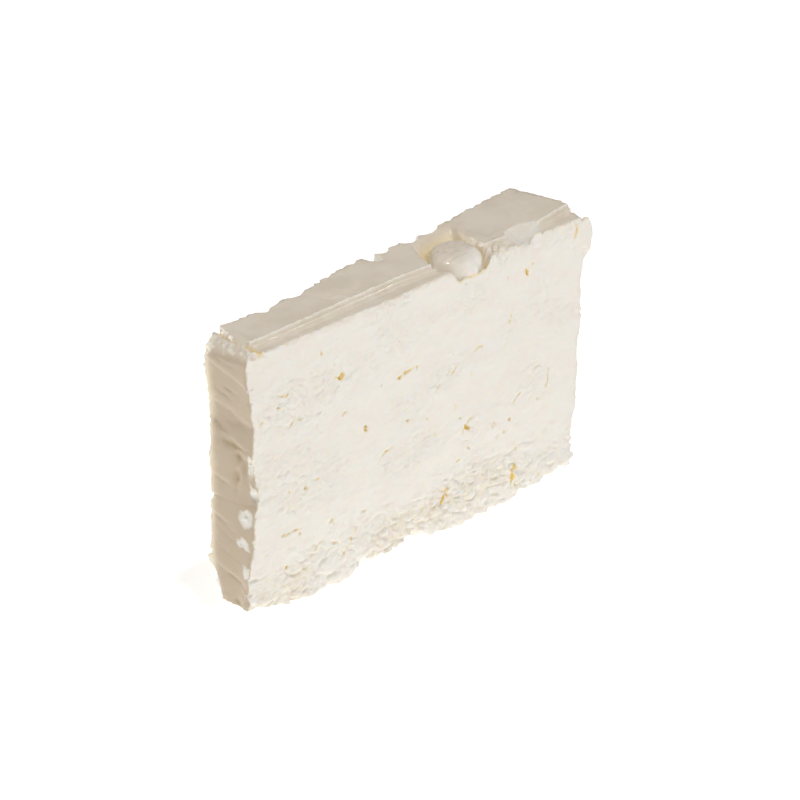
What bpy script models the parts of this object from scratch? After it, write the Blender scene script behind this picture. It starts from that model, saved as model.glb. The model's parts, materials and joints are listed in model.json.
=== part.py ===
"""Feta block: a hand-cut slice of brined white cheese that stands on its long narrow side.

Every size below is in millimetres, and the finished mesh is scaled to metres. X runs along the
slice, Y from the cut front face to the back, and Z up from the table. The slice is worked out
with its front left lower corner at zero, then moved so that the middle of its base is the origin.
A name that ends in NOISE holds how wide its bumps are and how far they stand out.
"""

import bmesh
import bpy
import numpy as np
from mathutils import Matrix, Vector, noise

MM = 0.001
NAME = "feta_block"

# The slab: thicker at its right end, and a little longer along its top than along its base.
FRONT_HEIGHT = 63.6
END_OUTLINE = (
    (0, 113.9), (12, 115.2), (17, 116.3), (30, 116.5),
    (41, 117.9), (48, 117.6), (55, 119.2), (65, 118.5),
)
END_BULGE = 1.4
END_BULGE_FROM = 0.67
BACK_OUTLINE = (
    (0, 13.3), (8, 15.5), (22, 14.4), (42, 16.3),
    (57, 19.0), (73, 18.7), (92, 20.2), (118, 22.6),
)
BACK_TAPER = 0.07
# The lip is the low step that the mould left along the top, with a level strip in front of it.
SKIN_HEIGHT = 65.3
SKIN_TILT = 0.02
LIP_LINE = ((0, 3.5), (21, 3.8), (57, 4.7), (67, 3.9), (101, 2.5), (118, 5.0))
LIP_WIDTH = 0.9
STRIP_RISE = 0.4
CREST_RISE = 0.15
CREST_OFFSET = 0.6
CREST_WIDTH = 0.45
TOP_NOISE = (9.0, 0.15)
# At the left end the skin was torn off along a line, which left a groove and a worn rim.
TEAR_LINE = ((0, 4.4), (3.3, 3.8), (6.4, 3.6), (10.5, 5.0), (15.5, 8.1))
TEAR_NOISE = (2.2, 0.6)
TEAR_WALL = 1.2
GROOVE_HEIGHT = 63.6
GROOVE_NOISE = (2.6, 0.25)
RIM_RISE = 1.9
RIM_ROUND = 1.0
RIM_ROUND_WIDTH = 1.5
# The hollow where a lump broke loose: its rim seen from above as x, y and the width of the wall
# that starts there. The noise of its rim and floor is a share of the wall's width and the depth.
HOLLOW = (
    (67.3, 3.9, 1.2), (74.0, 16.0, 4.5), (82.0, 18.2, 4.5), (91.5, 18.4, 3.0), (92.4, 16.0, 2.4),
    (90.4, 11.2, 2.4), (88.5, 4.5, 4.5), (86.5, -2.1, 4.0), (72.0, -2.1, 2.4),
)
HOLLOW_CORNER = 5.0
HOLLOW_DEPTH = 5.1
HOLLOW_RIM_NOISE = (4.0, 0.14)
HOLLOW_FLOOR_NOISE = (5.0, 0.12)
# How the crumbled base rises along the front, and how far back that reaches for each mm of rise.
BASE_OUTLINE = (
    (0, 2.9), (11, 1.3), (22.6, 0.1), (26, 1.1), (29.7, 0), (33.2, 0.2),
    (38.7, 3.1), (41.7, 1.6), (53, 3.1), (57, 4.7), (62.6, 1.6), (70, 0.8),
    (74, 0), (80.6, 1.4), (86.3, 0.7), (98.9, 1.5), (104.1, 3.1), (114.3, 3.2),
)
BASE_OUTLINE_NOISE = (3.0, 0.25)
BASE_START = 1.5
BASE_REACH = 2.2
END_RISE = 3.3
END_RISE_REACH = 9.0
BASE_NOISE = (7.0, 1.0)
BASE_LEVEL = 0.25
BASE_CONTACT = 0.12
# The spacing of the sculpted points along X, Y and Z, and the number of triangles kept of them.
SPACING = (0.75, 0.5, 0.75)
TRIANGLES = 9200

# The broken surface of the front, back and right end: swells, and curds in patches and low down.
SWELL_NOISE = (26.0, 0.4)
CURD_SIZE = 5.0
CURD_DEPTH = 0.55
CURD_SEAM = 2.2
PATCH_NOISE = (18.0, 1.4)
PATCH_SHARE = 0.3
CRUMBLED_BELOW = 20.0
CRUMBLED_FADE = 14.0
BACK_SHARE = 2.0
EDGE_REACH = 4.0
# The left end was cut with a blade that left slanting steps and one crack, deepest at the back.
SHEAR_PITCH = 9.5
SHEAR_SLOPE = 0.4
SHEAR_DEPTH = 0.3
SHEAR_STEEPNESS = 8.0
SHEAR_NOISE = (16.0, 2.5)
END_NOISE = (14.0, 0.5)
CRACK_HEIGHT = 28.2
CRACK_DEPTH = 0.8
CRACK_WIDTH = 0.6
CRACK_FRONT_SHARE = 0.25
CRACK_DEEP_FROM = 8.0
CRACK_DEEP_FADE = 4.0

# Scoops are rough hollows: centre x, y, z, which lies clear of the cheese, then half sizes.
TOP_CHIPS = (
    ((100.0, -0.4, 67.4), (9.0, 7.2, 4.9)),
    ((104.9, -1.1, 62.9), (2.0, 2.0, 2.0)),
    ((96.8, -1.0, 62.2), (1.5, 2.4, 1.5)),
    ((17.1, -0.3, 65.4), (1.2, 2.2, 2.2)),
    ((12.3, -0.6, 65.0), (0.9, 1.8, 1.8)),
    ((45.3, 0.2, 65.7), (0.9, 2.8, 2.4)),
    ((48.5, 10.5, 67.0), (4.6, 2.3, 1.7)),
)
BACK_CHIPS = (
    ((21.0, 16.4, 67.0), (2.6, 3.4, 4.2)),
    ((59.8, 20.6, 67.2), (2.2, 6.2, 6.4)),
    ((64.6, 20.6, 67.0), (2.8, 3.6, 4.0)),
    ((77.0, 20.4, 67.2), (4.0, 4.0, 4.8)),
    ((112.0, 24.4, 67.2), (4.0, 2.6, 3.8)),
)
END_CHIPS = (
    ((-1.2, 4.6, 34.8), (1.9, 1.6, 2.4)),
    ((-1.2, 3.5, 39.9), (1.8, 1.7, 1.9)),
    ((-1.2, 6.4, 41.2), (1.7, 2.1, 1.1)),
    ((-1.2, -1.4, 30.2), (3.8, 3.3, 2.6)),
    ((-0.8, 13.8, 27.9), (2.6, 2.6, 1.3)),
    ((-1.6, 14.6, 2.0), (5.4, 5.8, 9.0)),
    ((120.4, -1.2, 47.9), (2.9, 3.8, 1.1)),
    ((118.6, -1.2, 26.4), (2.3, 5.0, 1.5)),
)
SCOOP_NOISE = (2.4, 0.25)
SCOOP_NOISE_LIMIT = 0.22
SCOOP_SEARCH = 1.3
# Chips along the foot of the back: how many, from which x to which, how far each may drift of
# its place, how far out and how high its middle lies, and its least and greatest half sizes.
FOOT_CHIP_COUNT = 11
FOOT_CHIP_SPAN = (6.0, 112.0)
FOOT_CHIP_DRIFT = 0.3
FOOT_CHIP_OUT = 0.6
FOOT_CHIP_HEIGHT = (-2.0, -0.6)
FOOT_CHIP_LEAST = (2.5, 1.8, 2.6)
FOOT_CHIP_GREATEST = (5.0, 3.6, 4.4)
# Openings in the front face: centre x and z, half length, half width, depth and slant in degrees.
PITS = (
    (30.4, 50.2, 1.5, 1.0, 1.7, 10),
    (53.6, 43.9, 2.7, 0.8, 1.4, -15),
    (39.5, 34.9, 1.0, 0.8, 1.6, 60),
    (38.7, 14.9, 1.3, 0.7, 1.3, 5),
    (11.6, 9.3, 1.3, 0.9, 1.3, -20),
    (75.8, 24.0, 1.4, 0.8, 1.1, 40),
    (94.3, 12.8, 1.1, 0.8, 1.4, 60),
    (98.0, 55.7, 1.6, 0.7, 1.3, 60),
    (67.2, 9.4, 2.6, 0.8, 1.2, -60),
    (92.8, 6.6, 4.4, 0.8, 1.2, -72),
    (9.1, 49.1, 1.1, 0.7, 1.0, 20),
    (80.3, 41.9, 1.8, 0.6, 0.8, 20),
    (85.1, 21.5, 0.9, 0.7, 1.1, 0),
    (13.6, 17.6, 3.2, 0.7, 1.0, 15),
)
PIT_OFFSET = 0.9

# Lumps of curd that stand proud: centre, half sizes, turn about Z and tilt about Y in degrees.
LUMPS = (
    ((89.4, 1.8, 62.7), (2.9, 2.2, 2.4), 35, 0),
    ((101.4, 0.6, 62.4), (2.4, 0.5, 1.7), 0, -20),
    ((117.8, 1.0, 58.2), (4.3, 1.4, 4.6), 0, 10),
    ((118.4, 1.2, 53.6), (2.0, 1.1, 1.2), 0, 0),
    ((0.0, 2.0, 24.6), (0.9, 1.5, 1.6), 0, 25),
    ((0.0, 2.4, 18.6), (0.8, 1.3, 0.8), 0, 0),
    ((-0.4, 0.9, 12.2), (1.9, 0.8, 0.9), 0, 10),
)
LUMP_NOISE = (1.1, 0.3)
# The lump in the hollow: its middle, half height, the height of its sliced top, where that top
# starts to fall towards the front and how fast, and its outline from above as radii at angles
# in degrees from X towards Y.
NUGGET_CENTRE = (79.5, 6.5, 59.4)
NUGGET_HALF_HEIGHT = 6.0
NUGGET_TOP = 64.9
NUGGET_SHOULDER = 5.2
NUGGET_FALL = 0.11
NUGGET_PLAN = (
    (-178, 10.2), (-159, 9.0), (-134, 7.6), (-118, 7.4), (-78, 5.9), (-53, 6.5), (-23, 6.6),
    (4, 7.2), (31, 9.9), (47, 10.5), (75, 7.1), (133, 4.7), (165, 7.8),
)
NUGGET_BOXY = 2.6
NUGGET_SOFTNESS = 0.5
NUGGET_SLICED = 0.93
NUGGET_NOISE = (4.0, 0.35)


def smooth_step(value):
    """Eases from 0 to 1 as value goes from 0 to 1."""
    held = np.clip(value, 0.0, 1.0)
    return held * held * (3 - 2 * held)


def seed_shift(seed):
    """A shift that moves a noise pattern to a place of its own."""
    return Vector((seed * 7.31, seed * 3.17, seed * 5.93))


def bumps(points, layer, seed):
    """Soft noise whose bumps are as wide and as high as the layer says."""
    size, height = layer
    shift = seed_shift(seed)
    return height * np.array([noise.noise(Vector(p) / size + shift) for p in points])


def curds(points, seed):
    """1 at the middle of each curd and 0 in the seams between them."""
    shift = seed_shift(seed)
    near = np.array([noise.voronoi(Vector(p) / CURD_SIZE + shift)[0][:2] for p in points])
    return smooth_step((near[:, 1] - near[:, 0]) * CURD_SEAM)


def station(outline, x):
    """The outline's value at each x, from its (x, value) stations."""
    places, values = zip(*outline)
    return np.interp(x, places, values)


def flat_points(x, y):
    """Points on the table under each x and y."""
    return np.stack([x, y, np.zeros_like(x)], axis=1)


def scoop(points, centre, half, seed):
    """Pushes the points inside a rough ellipsoid out to its surface, which hollows the slab."""
    away = (points - centre) / half
    distance = np.linalg.norm(away, axis=1)
    near = (distance < SCOOP_SEARCH) & (distance > 0)
    heading = away[near] / distance[near, None]
    size, height = SCOOP_NOISE
    share = min(height / min(half), SCOOP_NOISE_LIMIT)
    reach = 1 + bumps(heading * half, (size, share), seed)
    pushed = distance[near] < reach
    moved = points[near]
    moved[pushed] = (heading[pushed] * reach[pushed, None]) * half + centre
    points[near] = moved


def unit_block():
    """A cube from 0 to 1 whose edges are divided so that the slab's points are evenly spaced."""
    bm = bmesh.new()
    bmesh.ops.create_cube(bm, size=1, matrix=Matrix.Translation((0.5, 0.5, 0.5)))
    lengths = (END_OUTLINE[-1][1], BACK_OUTLINE[-1][1], FRONT_HEIGHT)
    for axis, length in enumerate(lengths):
        along = [e for e in bm.edges if abs(e.verts[0].co[axis] - e.verts[1].co[axis]) > 0.5]
        bmesh.ops.subdivide_edges(bm, edges=along, cuts=round(length / SPACING[axis]))
    return bm


def inside_share(outline, x, y):
    """How far each point lies inside a clockwise convex outline, as a share of its wall's width."""
    corners = np.array(outline)
    nearest = np.full(x.shape, -np.inf)
    for (sx, sy, wall), (ex, ey, _) in zip(corners, np.roll(corners, -1, axis=0)):
        along = np.array((ex - sx, ey - sy)) / np.hypot(ex - sx, ey - sy)
        share = ((x - sx) * along[1] - (y - sy) * along[0]) / wall
        nearest = np.logaddexp(nearest, -HOLLOW_CORNER * share)
    return -nearest / HOLLOW_CORNER


def hollow_depth(x, y):
    """How far the top lies below its own level inside the hollow."""
    flat = flat_points(x, y)
    inward = inside_share(HOLLOW, x, y) + bumps(flat, HOLLOW_RIM_NOISE, 43)
    return HOLLOW_DEPTH * smooth_step(inward) * (1 + bumps(flat, HOLLOW_FLOOR_NOISE, 44))


def top_height(x, y):
    """The height of the top: strip, lip and skin, the torn left end and the hollow."""
    flat = flat_points(x, y)
    lip = station(LIP_LINE, x)
    strip = FRONT_HEIGHT + STRIP_RISE * np.clip(y / lip, 0, 1)
    skin = SKIN_HEIGHT + SKIN_TILT * (y - lip)
    past = smooth_step((y - lip) / LIP_WIDTH + 0.5)
    crest = CREST_RISE * np.exp(-(((y - lip - CREST_OFFSET) / CREST_WIDTH) ** 2))
    height = strip + (skin - strip) * past + crest
    tear = station(TEAR_LINE, y) + bumps(flat, TEAR_NOISE, 41)
    rim = RIM_RISE * smooth_step(1 - x / tear) - RIM_ROUND * smooth_step(1 - x / RIM_ROUND_WIDTH)
    worn = GROOVE_HEIGHT + rim + bumps(flat, GROOVE_NOISE, 42)
    height = worn + (height - worn) * smooth_step((x - tear) / TEAR_WALL + 0.5)
    return height - hollow_depth(x, y)


def base_height(x, y):
    """The height of the base: level patches that rest on the table, and crumbled places."""
    flat = flat_points(x, y)
    rise = station(BASE_OUTLINE, x) * (1 + bumps(flat, BASE_OUTLINE_NOISE, 22))
    front = rise * smooth_step(1 - y / (BASE_START + BASE_REACH * rise)) ** 0.5
    front = np.maximum(front, END_RISE * smooth_step(1 - x / END_RISE_REACH) ** 0.5)
    rough = bumps(flat, BASE_NOISE, 21) - BASE_LEVEL
    return np.maximum(np.maximum(front, rough), 0)


def slab(unit):
    """The plain slab: the unit cube's points spread over the measured outline."""
    u, v, w = unit.T
    z = w * SKIN_HEIGHT
    bulge = END_BULGE * np.sin(np.pi * v) * smooth_step((w - END_BULGE_FROM) / (1 - END_BULGE_FROM))
    x = u * (station(END_OUTLINE, z) + bulge)
    y = v * station(BACK_OUTLINE, x) * (1 - BACK_TAPER * (1 - w))
    base = base_height(x, y)
    z = base + w * (top_height(x, y) - base)
    return np.stack([x, y, z], axis=1)


def broken_relief(points, seed):
    """How far a broken face lies inside the slab: gentle swells and, in patches, curds."""
    patch = smooth_step(0.5 + bumps(points, PATCH_NOISE, seed + 1))
    low = smooth_step((CRUMBLED_BELOW - points[:, 2]) / CRUMBLED_FADE)
    seams = CURD_DEPTH * (0.5 - curds(points, seed + 2))
    return bumps(points, SWELL_NOISE, seed) + seams * np.maximum(PATCH_SHARE * patch, low)


def sheared_relief(points, seed):
    """How far the cut end lies inside the slab: slanting steps, soft swells and the crack."""
    x, y, z = points.T
    turn = np.mod((z - SHEAR_SLOPE * y + bumps(points, SHEAR_NOISE, seed)) / SHEAR_PITCH, 1.0)
    step = SHEAR_DEPTH * np.minimum(turn, (1 - turn) * SHEAR_STEEPNESS)
    opening = np.exp(-(((z - CRACK_HEIGHT) / CRACK_WIDTH) ** 2))
    deep = smooth_step((y - CRACK_DEEP_FROM) / CRACK_DEEP_FADE)
    crack = CRACK_DEPTH * opening * np.maximum(CRACK_FRONT_SHARE, deep)
    return step + bumps(points, END_NOISE, seed + 1) + crack


def shape_faces(unit, points):
    """Gives each side its own surface, fading out round the edges."""
    x, y, z = points.T.copy()
    length = station(END_OUTLINE, z)
    depth = station(BACK_OUTLINE, x) * (1 - BACK_TAPER * (1 - unit[:, 2]))
    front = smooth_step(1 - y / EDGE_REACH) * broken_relief(points, 3)
    back = smooth_step(1 - (depth - y) / EDGE_REACH) * broken_relief(points, 9) * BACK_SHARE
    left = smooth_step(1 - x / EDGE_REACH) * sheared_relief(points, 5)
    right = smooth_step(1 - (length - x) / EDGE_REACH) * broken_relief(points, 7)
    points[:, 0] += left - right
    points[:, 1] += front - back
    points[:, 2] += bumps(points, TOP_NOISE, 12) * unit[:, 2]


def carve(points):
    """Takes out every chip along the edges of the top, the back, the base and the ends."""
    for number, (centre, half) in enumerate(TOP_CHIPS + BACK_CHIPS + END_CHIPS):
        scoop(points, np.array(centre), np.array(half), 30 + number)
    draw = np.random.default_rng(8)
    places = np.linspace(*FOOT_CHIP_SPAN, FOOT_CHIP_COUNT)
    drift = FOOT_CHIP_DRIFT * (places[1] - places[0])
    for number, place in enumerate(places):
        x = place + draw.uniform(-drift, drift)
        y = station(BACK_OUTLINE, x) + FOOT_CHIP_OUT
        centre = np.array((x, y, draw.uniform(*FOOT_CHIP_HEIGHT)))
        scoop(points, centre, draw.uniform(FOOT_CHIP_LEAST, FOOT_CHIP_GREATEST), 80 + number)


def pierce(points):
    """Opens the pits of the front face, each a slanting slot with a rough wall."""
    for number, (px, pz, long, wide, depth, slant) in enumerate(PITS):
        axes = np.array(Matrix.Rotation(np.radians(slant), 3, "Y"))
        local = (points - (px, 0.0, pz)) @ axes
        centre = np.array((0.0, -PIT_OFFSET, 0.0))
        flare = 1 / np.sqrt(1 - (PIT_OFFSET / (depth + PIT_OFFSET)) ** 2)
        half = np.array((long * flare, depth + PIT_OFFSET, wide * flare))
        scoop(local, centre, half, 100 + number)
        points[:] = local @ axes.T + (px, 0.0, pz)


def sculpt_slab():
    """The slab as one mesh, in millimetres."""
    bm = unit_block()
    unit = np.array([v.co for v in bm.verts])
    points = slab(unit)
    shape_faces(unit, points)
    pierce(points)
    carve(points)
    for vertex, point in zip(bm.verts, points):
        vertex.co = point
    return bm


def lump(centre, half, turn, tilt, seed):
    """One rough curd, from an icosphere."""
    bm = bmesh.new()
    bmesh.ops.create_icosphere(bm, subdivisions=3, radius=1)
    spin = Matrix.Rotation(np.radians(turn), 4, "Z") @ Matrix.Rotation(np.radians(tilt), 4, "Y")
    size = min(half)
    points = np.array([v.co for v in bm.verts]) * size
    for vertex, rough in zip(bm.verts, bumps(points, LUMP_NOISE, 130 + seed)):
        vertex.co *= 1 + rough / size
    bm.transform(Matrix.Translation(centre) @ spin @ Matrix.Diagonal((*half, 1)))
    return bm


def nugget():
    """The lump that lies loose in the hollow: sliced on top, and rounded to the front and below."""
    bm = bmesh.new()
    bmesh.ops.create_icosphere(bm, subdivisions=4, radius=1)
    x, y, rise = np.array([v.co for v in bm.verts]).T
    angles, radii = zip(*NUGGET_PLAN)
    heading = np.arctan2(y, x)
    reach = np.interp(np.degrees(heading), angles, radii, period=360)
    out = reach * (1 - np.minimum(np.abs(rise), 1) ** NUGGET_BOXY) ** (1 / NUGGET_BOXY)
    local = np.stack([np.cos(heading) * out, np.sin(heading) * out, rise * NUGGET_HALF_HEIGHT], axis=1)
    local *= 1 + (bumps(local, NUGGET_NOISE, 120) / np.linalg.norm(local, axis=1))[:, None]
    points = local + NUGGET_CENTRE
    top = NUGGET_TOP - NUGGET_FALL * np.maximum(NUGGET_SHOULDER - points[:, 1], 0) ** 2
    over = np.logaddexp(0, (points[:, 2] - top) / NUGGET_SOFTNESS) * NUGGET_SOFTNESS
    points[:, 2] -= NUGGET_SLICED * over
    for vertex, point in zip(bm.verts, points):
        vertex.co = point
    return bm


def mesh_object(name, bm, collection):
    """An object made from bm, which is freed."""
    mesh = bpy.data.meshes.new(name)
    bm.to_mesh(mesh)
    bm.free()
    made = bpy.data.objects.new(name, mesh)
    collection.objects.link(made)
    return made


def apply_modifiers(block):
    """Replaces the block's mesh with what its modifiers make of it."""
    graph = bpy.context.evaluated_depsgraph_get()
    made = bpy.data.meshes.new_from_object(block.evaluated_get(graph))
    block.modifiers.clear()
    block.data = made


def thin_out(block):
    """Keeps triangles where the surface turns, and few where it is plain."""
    thinner = block.modifiers.new("fewer_triangles", "DECIMATE")
    thinner.ratio = TRIANGLES / (2 * len(block.data.polygons))
    thinner.use_collapse_triangulate = True
    apply_modifiers(block)


def fuse(block, collection):
    """Joins the block with the collection's lumps, which are then removed."""
    union = block.modifiers.new("fused_lumps", "BOOLEAN")
    union.operation = "UNION"
    union.solver = "MANIFOLD"
    union.operand_type = "COLLECTION"
    union.collection = collection
    apply_modifiers(block)
    for piece in list(collection.objects):
        bpy.data.objects.remove(piece)
    bpy.data.collections.remove(collection)


def level_base(block):
    """Lays the lowest points flat on the table, since thinning lifts them a little."""
    for vertex in block.data.vertices:
        if vertex.co.z < BASE_CONTACT:
            vertex.co.z = 0.0


def centre_on_base(block):
    """Moves the mesh so that the middle of its base is the origin, and scales it to metres."""
    corners = np.array([v.co for v in block.data.vertices])
    low, high = corners.min(axis=0), corners.max(axis=0)
    middle = Vector((*((low + high) / 2)[:2], low[2]))
    block.data.transform(Matrix.Scale(MM, 4) @ Matrix.Translation(-middle))


def cheese_material():
    """Brined white cheese: off-white, matt where cut and faintly moist."""
    material = bpy.data.materials.new("feta")
    material.use_nodes = True
    surface = material.node_tree.nodes["Principled BSDF"]
    surface.inputs["Base Color"].default_value = (0.84, 0.79, 0.70, 1)
    surface.inputs["Roughness"].default_value = 0.55
    surface.inputs["Metallic"].default_value = 0.0
    return material


def main():
    for old in list(bpy.data.objects):
        bpy.data.objects.remove(old)
    scene = bpy.context.scene.collection
    parts = bpy.data.collections.new("feta")
    lumps = bpy.data.collections.new("feta_lumps")
    scene.children.link(parts)
    scene.children.link(lumps)
    block = mesh_object(NAME, sculpt_slab(), parts)
    thin_out(block)
    mesh_object("nugget", nugget(), lumps)
    for number, measures in enumerate(LUMPS):
        mesh_object(f"lump_{number}", lump(*measures, seed=number), lumps)
    fuse(block, lumps)
    level_base(block)
    centre_on_base(block)
    block.data.materials.clear()
    block.data.materials.append(cheese_material())
    block.data.shade_smooth()
    block.data.set_sharp_from_angle(angle=np.radians(35))


main()
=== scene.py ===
"""Looks of a feta slice: its cut, sheared and torn surfaces, its two finishes, the light and camera.

Shapes are worked out in millimetres, with the slice's front left lower corner at zero, X along the
slice, Y to the back and Z up. The finished mesh is centred on its base and scaled to metres.
"""

import json

import bmesh
import bpy
import numpy as np
from mathutils import Matrix, Vector, kdtree, noise

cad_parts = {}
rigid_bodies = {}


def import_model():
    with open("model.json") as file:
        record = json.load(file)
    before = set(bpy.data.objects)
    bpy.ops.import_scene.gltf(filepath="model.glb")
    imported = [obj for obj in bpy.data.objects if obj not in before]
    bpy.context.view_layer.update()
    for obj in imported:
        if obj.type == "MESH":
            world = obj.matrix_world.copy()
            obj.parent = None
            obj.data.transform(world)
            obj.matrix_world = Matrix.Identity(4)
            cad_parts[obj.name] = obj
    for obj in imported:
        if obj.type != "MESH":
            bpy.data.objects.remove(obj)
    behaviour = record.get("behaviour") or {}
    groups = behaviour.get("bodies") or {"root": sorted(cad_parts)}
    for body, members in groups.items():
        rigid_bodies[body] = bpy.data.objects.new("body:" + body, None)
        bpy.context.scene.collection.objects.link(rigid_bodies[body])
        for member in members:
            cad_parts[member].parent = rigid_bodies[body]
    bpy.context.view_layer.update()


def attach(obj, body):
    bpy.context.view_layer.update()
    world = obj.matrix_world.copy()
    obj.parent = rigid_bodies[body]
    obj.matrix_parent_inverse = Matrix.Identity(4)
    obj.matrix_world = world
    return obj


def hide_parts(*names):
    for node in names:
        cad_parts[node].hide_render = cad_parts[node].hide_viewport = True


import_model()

MM = 0.001
PIECE = "feta_curd"

# The slab, as in the solid: thicker at its right end, and longer along its top than its base. The
# right end's place goes by height, and the back's by the distance along the slice.
FRONT_HEIGHT = 63.6
END_OUTLINE = (
    (0, 113.9), (12, 115.2), (17, 116.3), (30, 116.5), (41, 117.9), (48, 117.6), (55, 119.2), (65, 118.5),
)
END_BULGE = 1.4
BACK_OUTLINE = (
    (0, 13.6), (8, 15.5), (22, 14.4), (42, 16.3), (57, 19.0), (73, 18.7), (92, 20.2), (118, 22.6),
)
BACK_TAPER = 0.07

# From here on, a rough surface is layers of bumps, each with its size across, its height and its
# seed, and a fade is the place where something starts and how far on it is complete.

# The lip is the low step that the mould left along the top, with a level strip in front of it.
SKIN_HEIGHT = 65.3
SKIN_TILT = 0.02
LIP_LINE = ((0, 3.5), (21, 3.8), (57, 4.7), (67, 3.9), (101, 2.5), (118, 5.0))
LIP_WANDER = ((1.6, 0.12, 47),)
STRIP_RISE = 0.4
# Its two small steps: where each starts behind its line, how wide it is, and its share of the rise.
LIP_STEPS = ((-0.9, 0.35, 0.5), (0.15, 0.35, 0.5))
# The beaded ridge on it, and the shallow channels by it: place behind its line, width, and height.
LIP_CREST = (0.62, 0.25, 0.25)
LIP_BEADS = ((1.1, 0.9, 49),)
LIP_SAGS = ((-0.12, 0.22, 0.4), (-1.4, 0.5, 0.24))
# At the left end the skin was torn off along a line, which left a groove and a worn rim. The line
# is given by the distance to the back, and the groove is cut deepest just outside it.
TEAR_LINE = ((0, 4.4), (3.3, 3.8), (6.4, 3.9), (10.5, 5.4), (15.5, 7.4))
TEAR_JAG = ((2.2, 0.7, 41),)
TEAR_RAGGED = ((1.1, 0.35, 46),)
TEAR_WALL = 1.3
GROOVE_HEIGHT = 64.0
GROOVE_FALL = 0.05
GROOVE_ROUGH = ((2.3, 0.3, 42), (1.0, 0.25, 48))
GROOVE_CUT = 1.0
GROOVE_CUT_OUT = 1.0
GROOVE_CUT_WIDTH = 0.6
GROOVE_CUT_UNEVEN = ((3.0, 1.0, 51),)
RIM_RISE = 0.9
RIM_ROUND = 0.8
RIM_ROUND_REACH = 1.5
RIM_LEAN = 1.5
RIM_LEAN_FADE = (61.0, 4.0)
# The hollow where a lump broke loose: its rim seen from above as x, y and the width of the wall
# that starts there, then its depth.
HOLLOW = (
    (67.3, 3.9, 1.2), (74.0, 16.0, 4.5), (82.0, 18.2, 4.5), (91.5, 18.4, 3.0), (92.4, 16.0, 2.4),
    (90.4, 11.2, 2.4), (88.5, 4.5, 4.5), (86.5, -2.1, 4.0), (72.0, -2.1, 2.4),
)
HOLLOW_CORNER = 5.0
HOLLOW_DEPTH = 5.1
HOLLOW_RAGGED = ((4.0, 0.14, 43), (0.9, 0.04, 45))
HOLLOW_FLOOR = ((5.0, 0.12, 44),)
# How the crumbled base rises along the front, and how far back that reaches for each mm of rise.
BASE_OUTLINE = (
    (0, 2.9), (11, 1.3), (22.6, 0.1), (26, 1.1), (29.7, 0), (33.2, 0.2), (38.7, 3.1), (41.7, 1.6),
    (53, 3.1), (57, 4.7), (62.6, 1.6), (70, 0.8), (74, 0), (80.6, 1.4), (86.3, 0.7), (98.9, 1.5),
    (104.1, 3.1), (114.3, 3.2),
)
BASE_REACH = 2.2
BASE_LEAST_REACH = 1.5
BASE_UNEVEN = ((3.0, 0.25, 22),)
BASE_CRUMBLE = ((2.6, 0.7, 23), (1.0, 0.3, 24))
END_RISE = 3.3
END_RISE_REACH = 9.0
# The underside is level where its broad bumps stay under this share of their height.
BASE_BUMPS = ((7.0, 1.0, 21),)
BASE_LEVEL = 0.25
# The spacing of the sculpted points, how much closer they lie near the front, the reach of the
# finer points round a feature, by the tear and behind the front edge, and the triangles kept.
SPACING = (0.4, 0.3, 0.4)
FRONT_CROWDING = 0.45
FINE_REACH = 1.2
FINE_TEAR = 8
FINE_LIP = 0.5
TRIANGLES = 165000

# Relief of the broken faces: size across and depth of each kind of bump. The small ones are quieter
# to the right and high up.
SWELLS = ((26.0, 0.4), (8.0, 0.22), (3.4, 0.24), (1.5, 0.24), (0.8, 0.13))
SMALL_SWELL = 5
QUIET_SHARE = 0.4
LIVELY_LEFT = (80, 55)
LIVELY_LOW = (26, 14)
# Curds and crumbs show in patches, and all over low down.
CURDS_LOW = (20.0, 14.0)
CURD_WARP = 0.5
WARP_SEED = 5
CURD_SIZE = 5.0
CURD_DEPTH = 0.75
CURD_PATCH_SIZE = 18.0
CURD_PATCH_SHARE = 0.3
CRUMB_SIZE = 2.1
CRUMB_DEPTH = 0.62
CRUMB_PATCH_SIZE = 11.0
CRUMB_PATCH_SHARE = 0.6
CRUMB_LOW_SHARE = 0.5
GRAIN_STRETCH = 0.52
# How far in from an edge each side's own relief reaches, and how much rougher the back is.
EDGE_REACH = 4.0
BACK_SHARE = 1.6
# The rounding of the front top edge: amount, reach down and reach back. Then the back left corner's.
EDGE_ROUND = (0.35, 1.3, 0.4)
CORNER_ROUND = (0.2, 1.6)
# Rough edges: the foot of the left end, the right end, and the teeth of the top rim.
FOOT_ROUGH = ((2.2, 0.5, 18), (0.9, 0.25, 19))
FOOT_FADE = (7.0, 3.0)
FRAYED = ((1.8, 0.4, 25), (0.8, 0.25, 26))
TEETH = ((2.2, 0.5, 15), (1.0, 0.3, 16))
TEETH_FADE = (60.0, 4.0)
# The skin is nearly smooth, with faint streaks along the slice and one rough patch: its x and y,
# half sizes and height.
SKIN_SWELLS = ((9.0, 0.15, 12), (0.8, 0.03, 14))
SKIN_STREAKS = ((0.9, 0.06, 13),)
STREAK_STRETCH = 0.12
ROUGH_PATCH = (42.0, 8.2, 6.5, 2.0, 0.45)
ROUGH_PATCH_BUMPS = ((1.5, 1.0, 17),)
# The left end was cut with a blade that left slanting steps, fine lines and one crack right across.
SHEAR_PITCH = 9.5
SHEAR_SLOPE = 0.4
SHEAR_DEPTH = 0.28
SHEAR_STEEPNESS = 8
SHEAR_WANDER = ((16.0, 2.5, 5),)
SHEAR_SWELLS = ((14.0, 0.5, 6),)
BLADE_SPACING = 0.9
BLADE_LENGTH = 14.0
BLADE_LINES = ((1.0, 0.04, 7),)
CRACK_HEIGHT = 28.2
CRACK_DEPTH = 0.6
CRACK_WIDTH = 0.35
CRACK_WANDER = ((4.0, 0.5, 27),)
CRACK_FRONT_SHARE = 0.22
CRACK_DEEP_FADE = (9.0, 3.0)
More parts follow.
